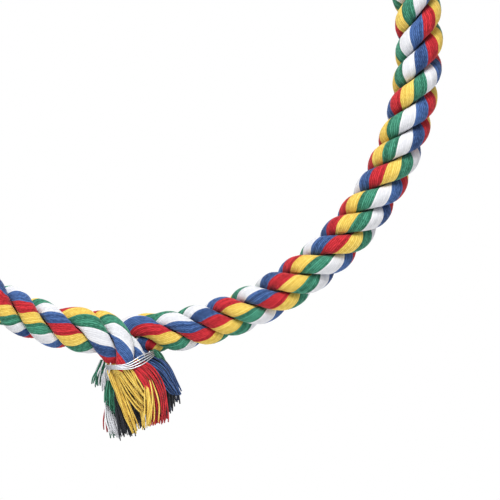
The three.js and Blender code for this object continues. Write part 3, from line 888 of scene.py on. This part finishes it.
TUFTS = {
    (Cut.FRONT, Dye.YELLOW): (
        Wisp(8, (-10.4, -8.8), (0, 0.12), (18, 26), (0.8, 3), (31, 29.4), (-7, -8), (24, 22)),
        Wisp(12, (-8.8, -2), (0, 0.06), (26, 46), (4.8, 6.6), (20.8, 12.6), (-9, -10), (50, 30)),
        Wisp(10, (-8.4, -2.4), (0.3, 0.5), (26, 46), (4, 6), (20, 13), (-6, -7), (46, 30)),
        Wisp(4, (-6.5, -4), (0.15, 0.5), (30, 38), (4.6, 5.8), (29, 28), (-7, -8), (4, 2)),
        Wisp(4, (-11.4, -10), (-1.2, -0.4), (18, 26), (-1.6, 0.8), (24, 31), (-7, -8), (24, 22), 1.6),
    ),
    (Cut.BACK, Dye.YELLOW): (
        Wisp(11, (0.8, 2.6), (0.2, 0.34), (40, 48), (6.9, 10), (26.4, 25.5), (-13.5, -13), (0, -6)),
        Wisp(18, (1, 7), (1.6, 2), (20, 40), (5, 11), (28, 26), (6, 9), (5, 15)),
    ),
    (Cut.FRONT, Dye.RED): (
        Wisp(16, (-1.8, 4.8), (0, 0.08), (48, 70), (9, 14.6), (27, 25.2), (-9, -6), (2, -4), -0.9),
        Wisp(32, (-1.6, 4.8), (0.3, 0.6), (48, 70), (8.6, 14.2), (26.6, 25), (-6, -3), (2, -4), -0.9),
    ),
    (Cut.BACK, Dye.RED): (
        Wisp(14, (3, 7), (0.7, 1.2), (45, 60), (13.8, 15.4), (24.5, 23.5), (-2, 1), (0, 0)),
        Wisp(5, (-8.5, -8), (1.2, 1.5), (-12, -8), (-11.8, -10.8), (31, 30.5), (2, 4), (2, 4)),
        Wisp(18, (5, 9), (1.5, 1.9), (35, 55), (11, 15.5), (25.5, 23), (4, 7), (5, 10)),
    ),
    (Cut.BACK, Dye.DARK): (
        Wisp(20, (4.5, 9.5), (0.4, 1), (58, 74), (15.4, 19.8), (22.6, 18), (-5, 2), (2, 8)),
        Wisp(6, (6.5, 10), (0.8, 1.4), (40, 70), (10.5, 13.5), (10, 8), (0, 2), (30, 40), 2),
        Wisp(24, (-6, 0), (0.6, 1), (14, 30), (-0.5, 5.6), (29, 28), (-5, -2), (8, 12)),
    ),
    (Cut.FRONT, Dye.BLUE): (
        Wisp(11, (2.8, 10), (0.1, 0.2), (72, 80), (17.6, 21), (13, 13.6), (-7, -3), (42, 26), -1.2),
        Wisp(18, (2.8, 10), (0.35, 0.6), (72, 80), (17, 20.6), (13.6, 14), (-4, 0), (40, 26), -1.2),
    ),
    (Cut.BACK, Dye.BLUE): (
        Wisp(10, (6, 9.6), (0.8, 1.4), (70, 80), (18.4, 20.6), (13, 11.5), (0, 5), (30, 25)),
        Wisp(14, (7.5, 10), (1.3, 1.7), (55, 75), (16, 19.5), (20.5, 15), (2, 6), (10, 15)),
    ),
    (Cut.BACK, Dye.GREEN): (
        Wisp(18, (9.2, 10.6), (0.2, 1.1), (66, 88), (13.2, 16.2), (6.8, 3), (-5, 3), (24, 36), 1.4),
        Wisp(14, (-9, -6), (1, 1.5), (-25, -10), (-9.6, -5.6), (32, 33), (0, 3), (10, 15)),
        Wisp(16, (-8, -3), (1.5, 2), (-20, 0), (-9, -3), (31, 31), (4, 8), (0, 5)),
    ),
    (Cut.FRONT, Dye.GREEN): (
        Wisp(9, (-12.2, -10.8), (-0.8, -0.3), (-28, -8), (-17.4, -14.4), (8.9, 10.4), (0, 2), (-10, 6), 6),
        Wisp(30, (-10.4, -8.6), (0.3, 0.8), (-12, 14), (-11.2, -6), (17.5, 24), (-4, -1), (-2, 12)),
    ),
    (Cut.FRONT, Dye.WHITE): (
        Wisp(3, (-12, -11), (-0.8, -0.3), (-25, -10), (-16.8, -15), (9.2, 9.8), (0, 2), (-8, 4), 6),
        Wisp(12, (-10.8, -9), (-0.5, 0.3), (-40, -14), (-13.8, -10.4), (11.5, 13), (0, 3), (-4, 10), 3.5),
    ),
    (Cut.BACK, Dye.WHITE): (
        Wisp(20, (-9.4, -8), (0.9, 1.3), (-16, -4), (-8.8, -5.4), (31.4, 33), (-2, 1), (22, 28), 1.5),
        Wisp(16, (-2, 4), (1.6, 2), (0, 25), (-1, 5), (29, 28), (5, 9), (5, 10)),
    ),
    (Cut.FRONT, Dye.DARK): (
        Wisp(30, (-8.5, -5), (0.5, 1), (-8, 12), (-5, 0.6), (32.2, 31.6), (-4, -1), (8, 15)),
    ),
}


@dataclass
class Tassel:
    """The frayed rope ends: loose yarns that fan out below the binding and droop."""

    line: RopeLine
    yarn: float = 0.72 * MM
    rings: int = 16
    sides: int = 6
    tip: float = 0.75  # of its thickness that a yarn keeps at its tip
    taper: float = 0.5
    thickness: Pair = (0.88, 1.12)  # of the thinnest yarn and of the thickest
    least_depth: float = 0.1  # squared share of the bundle's depth that is left at its sides
    splay: float = 0.12  # of a yarn on the skin of the bundle, away from the middle
    leave_pull: float = 0.38  # of its length over which a yarn leaves the binding
    arrive_pull: float = 0.36  # of its length over which it comes to hang
    root_scatter: float = 0.25 * MM
    lift_scatter: float = 0.6  # in millimetres, as the lift
    tip_scatter: float = 0.8 * MM
    lean_scatter: float = math.radians(2.5)
    wave: float = 0.14 * MM
    wave_length: Pair = (9 * MM, 16 * MM)
    stretch: float = 0.3  # of a yarn's length that its pattern runs through, so that the streaks show long
    pattern_shift: float = 100 * MM  # from one yarn's pattern to another's, at most
    flank_painted_shade: int = 3  # how fast a yarn darkens with painted shade from its outward side to its flanks and inner side, where the next yarns would shade it
    strip_across: Pair = (0.04, 0.92)  # margin and room of a yarn on the bake's map
    strip_along: Pair = (0.01, 0.94)
    cap_heights: Pair = (0.972, 0.99)  # of its two cut faces there
    cap_size: Pair = (0.3, 0.005)

    def downward(self, lean: float, outward: float) -> Array:
        """Gives the way down at a lean to the right, turned a little to the front or the back."""
        return unit(np.array([math.sin(lean), outward, -math.cos(lean)]))

    def path(self, wisp: Wisp, share: float, rng: Draws) -> Array:
        """Follows one yarn from the binding to its tip.

        Args:
            wisp: The bunch that the yarn belongs to.
            share: The yarn's place in the bunch, from 0 for the first to 1 for the last.
            rng: The source of its small differences.

        Returns:
            Points along the yarn.
        """
        line = self.line
        middle = line.binding_centre + [0, 0, line.height]
        across = between(wisp.root, share) * MM + rng.normal(0, self.root_scatter)
        narrowing = 1 - (2 * across / line.bundle_width) ** 2
        depth = line.bundle_depth / 2 * math.sqrt(max(self.least_depth, narrowing))
        layer = rng.uniform(*sorted(wisp.layer))
        above = wisp.lift + rng.uniform(-self.lift_scatter, self.lift_scatter)
        root = middle + line.binding_across * across - line.binding_axis * above * MM
        root[1] = -depth * (1 - layer)
        reach = [between(wisp.right, share), between(wisp.behind, share), -between(wisp.below, share)]
        tip = middle + np.array(reach) * MM + rng.normal(0, self.tip_scatter, 3)
        length = float(np.linalg.norm(tip - root))
        lean = math.radians(between(wisp.lean, share)) + rng.normal(0, self.lean_scatter)
        hang = math.radians(between(wisp.hang, share)) + rng.normal(0, self.lean_scatter)
        leave = root + self.downward(lean, (layer - 1) * self.splay) * self.leave_pull * length
        arrive = tip - self.downward(hang, (tip[1] - root[1]) / length) * self.arrive_pull * length
        way = np.linspace(0, 1, self.rings)
        points = bezier(np.stack([root, leave, arrive, tip]), way)
        for axis in (0, 1):
            turns = length / rng.uniform(*self.wave_length)
            swing = np.sin(TURN * (turns * way + rng.random()))
            points[:, axis] += self.wave * swing * np.sin(math.pi * way / 2)
        return points

    def tuft(self, name: str, dye: Dye, wisps: tuple[Wisp, ...], rng: Draws) -> Object:
        """Builds all the yarns of one tuft as one piece.

        Args:
            name: The piece's name.
            dye: The yarns' dye.
            wisps: The bunches of yarns in the tuft.
            rng: The source of their small differences.

        Returns:
            The tuft.
        """
        rows = [self.path(wisp, share, rng) for wisp in wisps for share in np.linspace(0, 1, wisp.count)]
        way = np.linspace(0, 1, self.rings)
        sizes = self.yarn / 2 * np.minimum(1, self.tip + self.taper * (1 - way**4))
        yarns = [tube_points(row, sizes * rng.uniform(*self.thickness), self.sides) for row in rows]
        one_yarn = grid_faces(self.rings, self.sides).tolist() + cap_faces(self.rings, self.sides)
        firsts = np.arange(len(rows)) * self.rings * self.sides
        faces = [[first + corner for corner in face] for first in firsts.tolist() for face in one_yarn]
        made = new_object(name, np.array(yarns), faces, YARN_MATERIALS[dye])
        self.dress(made.data, rows, yarns, rng)
        return made

    def outward(self, row: Array, yarn: Array) -> Array:
        """Gives how far each point of a yarn's skin faces out of the bundle, from 0 on its flanks to 1."""
        out = unit((row[0] - self.line.binding_centre) * [1, 1, 0])
        return np.clip(unit(yarn - row[:, None]) @ out, 0, 1)

    def dress(self, mesh: Mesh, rows: list[Array], yarns: list[Array], rng: Draws) -> None:
        """Gives each yarn its place for the yarn pattern and its strip on the bake's map.

        Args:
            mesh: The tuft's mesh.
            rows: The points along each yarn.
            yarns: The points of each ring round each yarn.
            rng: The source of each yarn's shade.
        """
        ring, side = (corner.ravel() for corner in quad_corners(self.rings, self.sides))
        angle = TURN * np.arange(self.sides) / self.sides
        height = self.strip_along[0] + self.strip_along[1] * ring / (self.rings - 1)
        places, layout = [], []
        for number, (row, yarn) in enumerate(zip(rows, yarns)):
            along = self.stretch * lengths(row) + rng.uniform(0, self.pattern_shift)
            tone = rng.random()
            # Painted shade: a yarn's seam, which the material darkens, lies on its flanks and inner side,
            # where the next yarns would shade it.
            around = YARN_MIDDLE * self.outward(row, yarn)[ring, side % self.sides] ** self.flank_painted_shade
            places.append(abreast(along[ring], around, np.full(len(ring), tone)))
            places.append(np.tile([along[-1], 0.0, tone], (2 * self.sides, 1)))
            strip = (number + self.strip_across[0] + self.strip_across[1] * side / self.sides) / len(rows)
            layout.append(abreast(strip, height))
            disc = (number + 0.5 + self.cap_size[0] * np.cos(angle)) / len(rows)
            for cap in self.cap_heights:
                layout.append(abreast(disc, cap + self.cap_size[1] * np.sin(angle)))
        write_corners(mesh, places, layout)

    def build(self) -> None:
        """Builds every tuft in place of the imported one."""
        rng = np.random.default_rng(SEED + 1)
        for (cut, dye), wisps in TUFTS.items():
            node = f"{cut.value}_tuft_{dye.name.lower()}"
            settle(self.tuft(f"{node}_yarns", dye, wisps, rng), Body.PERCH, dye.slot, node)


# Wires and hanger


@dataclass
class EndBinding:
    """Four turns of soft wire pulled tight round the two rope ends.

    On the front the wire sags in the middle, its turns fan out to the right and its left end rises. The sag
    and the fan are in millimetres, at millimetres to the right of the binding's middle.
    """

    line: RopeLine
    wire: float = 0.54 * MM
    turns: int = 4
    steps: int = 120  # per turn
    sides: int = 10
    clear: float = 0.9  # of the wire's thickness, from the yarns to the middle of the wire
    sag: Places = ((-10.5, -2.4), (-6, -0.5), (-3, 0.6), (0, 0.9), (5.3, 0.1), (10.5, -0.5))
    fan: Places = ((-10.5, 0.56), (-4, 0.62), (1, 1.05), (5, 1.3), (8, 0.9), (10.5, 0.6))
    rear: Pair = (-2, 4)  # in millimetres to the back, where the rear's sag and fan take over
    rear_sag: float = -0.4
    rear_fan: float = 0.6
    blur: int = 15  # steps over which the stiff wire evens out its course

    def loop(self) -> Array:
        """Gives one taut turn about the two squeezed ends and the round bundle of yarns below them.

        Returns:
            Points to the right and to the back of the binding's middle.
        """
        line = self.line
        angle = np.linspace(0, TURN, CIRCLE_STEPS)
        way = abreast(np.cos(angle), np.sin(angle))
        offset = (line.end_depth + line.end_gap) / 2
        ends = (line.back, line.front)
        ovals = [((end.shift, end.side * offset), (end.width, line.end_depth)) for end in ends]
        ovals.append(((0, 0), (line.bundle_width, line.bundle_depth)))
        reaches = []
        for centre, across in ovals:
            size = np.array(across) / 2 + self.clear * self.wire
            reaches.append(way * size**2 / np.linalg.norm(way * size, axis=1, keepdims=True) + centre)
        furthest = np.argmax([np.sum(reach * way, axis=1) for reach in reaches], axis=0)
        corners = np.array(reaches)[furthest, np.arange(len(angle))]
        along = lengths(corners)
        places = np.linspace(0, along[-1], self.steps + 1)[:-1]
        return abreast(*(np.interp(places, along, column) for column in corners.T))

    def course(self, loop: Array, front: Places, rear: float) -> Array:
        """Gives a value along one turn of the wire.

        Args:
            loop: The turn.
            front: The value at places on the front.
            rear: The value on the rear.

        Returns:
            The value at each step.
        """
        to_rear = smoothstep(loop[:, 1] / MM, *self.rear)
        row = np.interp(loop[:, 0] / MM, *zip(*front)) * (1 - to_rear) + rear * to_rear
        window = np.hanning(self.blur) / np.hanning(self.blur).sum()
        return np.convolve(np.tile(row, 3), window, "same")[self.steps : -self.steps]

    def build(self) -> None:
        """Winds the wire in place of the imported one."""
        line, loop = self.line, self.loop()
        sag = self.course(loop, self.sag, self.rear_sag)
        fan = self.course(loop, self.fan, self.rear_fan)
        step = np.arange(self.turns * self.steps + 1)
        at = (step + self.steps // 4) % self.steps
        down = (sag[at] + (step / self.steps - self.turns / 2) * fan[at]) * MM
        points = line.binding_centre + [0, 0, line.height] + line.binding_across * loop[at, 0, None]
        points = points + line.binding_axis * down[:, None] - FRONT * loop[at, 1, None]
        radii = round_ended(lengths(points), self.wire / 2)
        wire = rod("binding_wire", points, radii, self.sides, GALVANISED)
        settle(wire, Body.PERCH, "galvanised_wire", "end_binding")


@dataclass
class HangingEye:
    """Wire wound round the top of the ring, its middle turns drawn up into an eye."""

    line: RopeLine
    top: float
    wire: float = 2 * MM
    pitch: float = 2.6 * MM
    tight_turns: int = 2
    tall_turns: int = 2
    bite: float = 0.15 * MM  # of the wire into the soft rope
    steps: int = 72
    sides: int = 14

    def build(self) -> None:
        """Winds the eye."""
        line = self.line
        turns = 2 * self.tight_turns + self.tall_turns
        turned = np.linspace(0, turns, turns * self.steps + 1)
        radius = (line.full + self.wire) / 2 - self.bite
        lift = self.top - line.height - line.ring_radius - radius
        angle = TURN * turned + math.pi
        tall = (turned > self.tight_turns) & (turned < turns - self.tight_turns)
        raised = np.where(tall, lift * np.clip(np.cos(angle), 0, None), 0)
        height = line.height + line.ring_radius + radius * np.cos(angle) + raised
        points = abreast(self.pitch * (turned - turns / 2), radius * np.sin(angle), height)
        radii = round_ended(lengths(points), self.wire / 2)
        wire = rod("wound_eye", points, radii, self.sides, GALVANISED_EYE)
        settle(wire, Body.PERCH, "galvanised_wire", "hanging_eye")


@dataclass
class WeldedRing:
    """A ring bent from plated wire, with the bead of its butt weld on the right."""

    foot: float
    wire: float = 4 * MM
    inside: float = 20 * MM
    bead: float = 0.22 * MM
    bead_angle: float = 0.09
    steps: int = 144
    sides: int = 20

    def build(self) -> None:
        """Bends the ring, which stands in the plane of the rope ring."""
        radius = (self.inside + self.wire) / 2
        angle = TURN * np.arange(self.steps) / self.steps - math.pi
        round_it = TURN * np.arange(self.sides) / self.sides
        size = self.wire / 2 + self.bead * np.exp(-((angle / self.bead_angle) ** 2))
        reach = radius + size[:, None] * np.cos(round_it)
        points = abreast(
            reach * np.cos(angle)[:, None],
            size[:, None] * np.sin(round_it),
            self.foot + radius + reach * np.sin(angle)[:, None],
        )
        faces = grid_faces(self.steps, self.sides, closed=True)[:, ::-1].tolist()
        ring = new_object("welded_ring", points, faces, PLATED_RING.material())
        settle(ring, Body.RING, "plated_steel", "swing_ring")


@dataclass
class ScrewLink:
    """A link bent from plated rod, threaded at its mouth, and the hexagonal sleeve that closes the mouth."""

    wire: float = 5 * MM
    inside_width: float = 12 * MM
    inside_length: float = 39 * MM
    mouth: float = 7 * MM
    lower_thread: float = 2.5 * MM
    upper_thread: float = 15 * MM
    thread_pitch: float = 0.8 * MM
    thread_depth: float = 0.3 * MM
    sleeve_length: float = 15 * MM
    sleeve_flats: float = 9 * MM
    sleeve_gap: float = 0.35 * MM
    chamfer: float = 0.45 * MM
    chamfer_steps: int = 7
    chamfer_slope: float = 1.7  # of the sleeve's corners, turned off at both ends
    chamfer_foot: float = 0.1 * MM  # from the flats in to where that slope starts
    crease: float = math.radians(25)  # from which an edge of the sleeve is sharp
    tip: float = 0.75  # of the rod's thickness that is left at its two ends
    sleeve_steps: int = 96
    steps_per_pitch: int = 10
    bow_steps: int = 48
    sides: int = 24

    @property
    def limb(self) -> float:
        """Half the distance between the two limbs."""
        return (self.inside_width + self.wire) / 2

    @property
    def foot_bow(self) -> float:
        """The height of the lower bow's middle."""
        return self.inside_width / 2 - self.inside_length

    def body(self) -> Object:
        """Bends the link: from its mouth up over the top bow, down the back limb and round the lower bow.

        Returns:
            The link.
        """
        top_bow, step = -self.inside_width / 2, self.thread_pitch / self.steps_per_pitch
        lower = self.foot_bow + self.sleeve_gap + self.lower_thread
        upper = np.arange(lower + self.mouth, top_bow - step, step)
        below = np.arange(self.foot_bow + step, lower + step / 2, step)
        angle = np.linspace(0, math.pi, self.bow_steps + 1)
        over = abreast(0 * angle, -self.limb * np.cos(angle), top_bow + self.limb * np.sin(angle))
        under = abreast(0 * angle, self.limb * np.cos(angle), self.foot_bow - self.limb * np.sin(angle))
        limbs = [abreast(0 * z, 0 * z - self.limb, z) for z in (upper, below)]
        points = np.concatenate([limbs[0], over, under, limbs[1]])
        along = lengths(points)
        side = np.arange(self.sides) / self.sides
        last = along[-1] - self.lower_thread
        threaded = np.maximum(
            1 - smoothstep(along, self.upper_thread - self.thread_pitch, self.upper_thread),
            smoothstep(along, last, last + self.thread_pitch / 2),
        )
        groove = 0.5 + 0.5 * np.cos(TURN * (along[:, None] / self.thread_pitch - side))
        ends = np.maximum(round_ended(along, self.wire / 2) / (self.wire / 2), self.tip)
        radii = (self.wire / 2 - self.thread_depth * threaded[:, None] * groove) * ends[:, None]
        return rod("link_rod", points, radii, self.sides, PLATED)

    def sleeve(self) -> Object:
        """Turns the sleeve: a hexagon with its corners turned off at both ends, and a bore.

        Returns:
            The sleeve.
        """
        angle = TURN * np.arange(self.sleeve_steps) / self.sleeve_steps
        flat, length, chamfer = self.sleeve_flats / 2, self.sleeve_length, self.chamfer
        hexagon = flat / np.cos((angle + TURN / 12) % (TURN / 6) - TURN / 12)
        bore = np.full(self.sleeve_steps, self.wire / 2 + self.sleeve_gap)
        foot = self.foot_bow + self.sleeve_gap
        rise = np.linspace(0, chamfer, self.chamfer_steps)
        rings = []
        for height in np.concatenate([rise, length - rise[::-1]]):
            turned_off = flat - self.chamfer_foot + self.chamfer_slope * min(height, length - height)
            rings.append((np.minimum(hexagon, turned_off), height))
        for height, wider in ((length, chamfer), (length - chamfer, 0.0), (chamfer, 0.0), (0.0, chamfer)):
            rings.append((bore + wider, height))
        ahead, aside = np.cos(angle), np.sin(angle)
        points = [abreast(r * ahead, r * aside - self.limb, 0 * r + foot + z) for r, z in rings]
        faces = grid_faces(len(points), self.sleeve_steps, closed=True).tolist()
        made = new_object("hexagon_sleeve", np.array(points), faces, PLATED_SLEEVE.material())
        made.data.set_sharp_from_angle(angle=self.crease)
        return made

    def build(self) -> None:
        """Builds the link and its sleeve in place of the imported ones."""
        settle(self.body(), Body.LINK, "plated_steel", "link_body")
        settle(self.sleeve(), Body.SLEEVE, "plated_steel", "link_sleeve")


# Studio


@dataclass(frozen=True)
class Lamp:
    """A square soft lamp, placed from what the camera looks at, which it faces."""

    name: str
    place: Triple
    size: float
    power: float


@dataclass(frozen=True)
class Studio:
    """A white studio: soft light all round, three soft lamps, a pale round floor and a long lens."""

    look_at: Triple = (55.3 * MM, 0, -303.5 * MM)
    view_width: float = 222.2 * MM
    distance: float = 1.5
    sensor: float = 36.0
    glow: float = 0.33  # of the room, as light on the perch
    floor_drop: float = 0.22
    floor_radius: float = 1.2
    floor_sides: int = 96
    floor_specks: float = 60.0  # across the floor
    lamps: tuple[Lamp, ...] = (
        Lamp("key_lamp", (-0.35, -0.9, 1.15), 0.8, 27),
        Lamp("fill_lamp", (0.7, -0.9, -0.3), 1.0, 4),
        Lamp("back_lamp", (0.5, 1.2, 0.8), 1.0, 14),
    )

    def camera(self) -> None:
        """Sets up the camera straight in front."""
        data = bpy.data.cameras.new("camera")
        data.sensor_width = self.sensor
        data.lens = self.sensor * self.distance / self.view_width
        camera = bpy.data.objects.new("camera", data)
        camera.location = Vector(self.look_at) + Vector((0, -self.distance, 0))
        camera.rotation_euler = (math.radians(90), 0, 0)
        bpy.context.scene.collection.objects.link(camera)
        bpy.context.scene.camera = camera

    def light(self, lamp: Lamp) -> None:
        """Hangs up a lamp.

        Args:
            lamp: The lamp.
        """
        data = bpy.data.lights.new(lamp.name, "AREA")
        data.size = lamp.size
        data.energy = lamp.power
        made = bpy.data.objects.new(lamp.name, data)
        made.location = Vector(self.look_at) + Vector(lamp.place)
        made.rotation_euler = (-Vector(lamp.place)).to_track_quat("-Z", "Y").to_euler()
        bpy.context.scene.collection.objects.link(made)

    def world(self) -> None:
        """Lights the room softly, and shows it white to the camera, in metal and through glass."""
        world = bpy.data.worlds.new("white_room")
        world.use_nodes = True
        world.node_tree.nodes.clear()
        add, white = partial(add_node, world.node_tree), linear("#ffffff")
        ray = add("LightPath", {}).outputs
        mirrored = {0: ray["Is Glossy Ray"], 1: ray["Is Transmission Ray"]}
        seen = {0: ray["Is Camera Ray"], 1: add("Math", mirrored, operation="MAXIMUM")}
        shown = add("Math", seen, operation="MAXIMUM")
        glow = add("Background", {"Color": white, "Strength": self.glow})
        backdrop = add("Background", {"Color": white, "Strength": 1.0})
        mix = add("MixShader", {0: shown, 1: glow, 2: backdrop})
        add("OutputWorld", {"Surface": mix})
        bpy.context.scene.world = world

    def floor(self) -> None:
        """Lays a pale round floor below the perch, rolled with matt white paint, which shows faint specks."""
        material, add = new_material("matt_white_paint")
        specks = add("TexNoise", {"Scale": self.floor_specks, "Detail": 2.0})
        colours = {COLOUR_A: linear("#f4f4f4"), COLOUR_B: linear("#eeeeee")}
        tint = add("Mix", {"Factor": specks, **colours}, data_type="RGBA")
        shader = add("BsdfPrincipled", {"Base Color": tint.outputs[COLOUR_OUT], "Roughness": 0.9})
        add("OutputMaterial", {"Surface": shader})
        angle = TURN * np.arange(self.floor_sides) / self.floor_sides
        rim = abreast(np.cos(angle), np.sin(angle), 0 * angle) * self.floor_radius
        made = new_object("floor", rim, [list(range(self.floor_sides))], material)
        made.location = (0, 0, CAD_BOX[0].z - self.floor_drop)

    def build(self) -> None:
        """Sets up the camera, the light and the floor."""
        self.camera()
        self.world()
        self.floor()
        for lamp in self.lamps:
            self.light(lamp)
        bpy.context.scene.view_settings.view_transform = "Standard"


def main() -> None:
    """Builds the studio and the perch, piece by piece."""
    logging.basicConfig(level=logging.INFO, format="%(message)s")
    hinge = joint_height("fore_aft_swing")
    line = RopeLine(height=hinge - EYE_DROP)
    Studio().build()
    LaidRope(line).build()
    Tassel(line).build()
    EndBinding(line).build()
    HangingEye(line, top=hinge + EYE_RISE).build()
    WeldedRing(foot=hinge).build()
    ScrewLink().build()
    core = bpy.data.objects["core_wire"]
    core.data.materials.clear()
    core.data.materials.append(SPRING.material())
    LOG.info("%s keeps its solid, with the finish %s", core.name, SPRING.name)


if __name__ == "__main__":
    main()
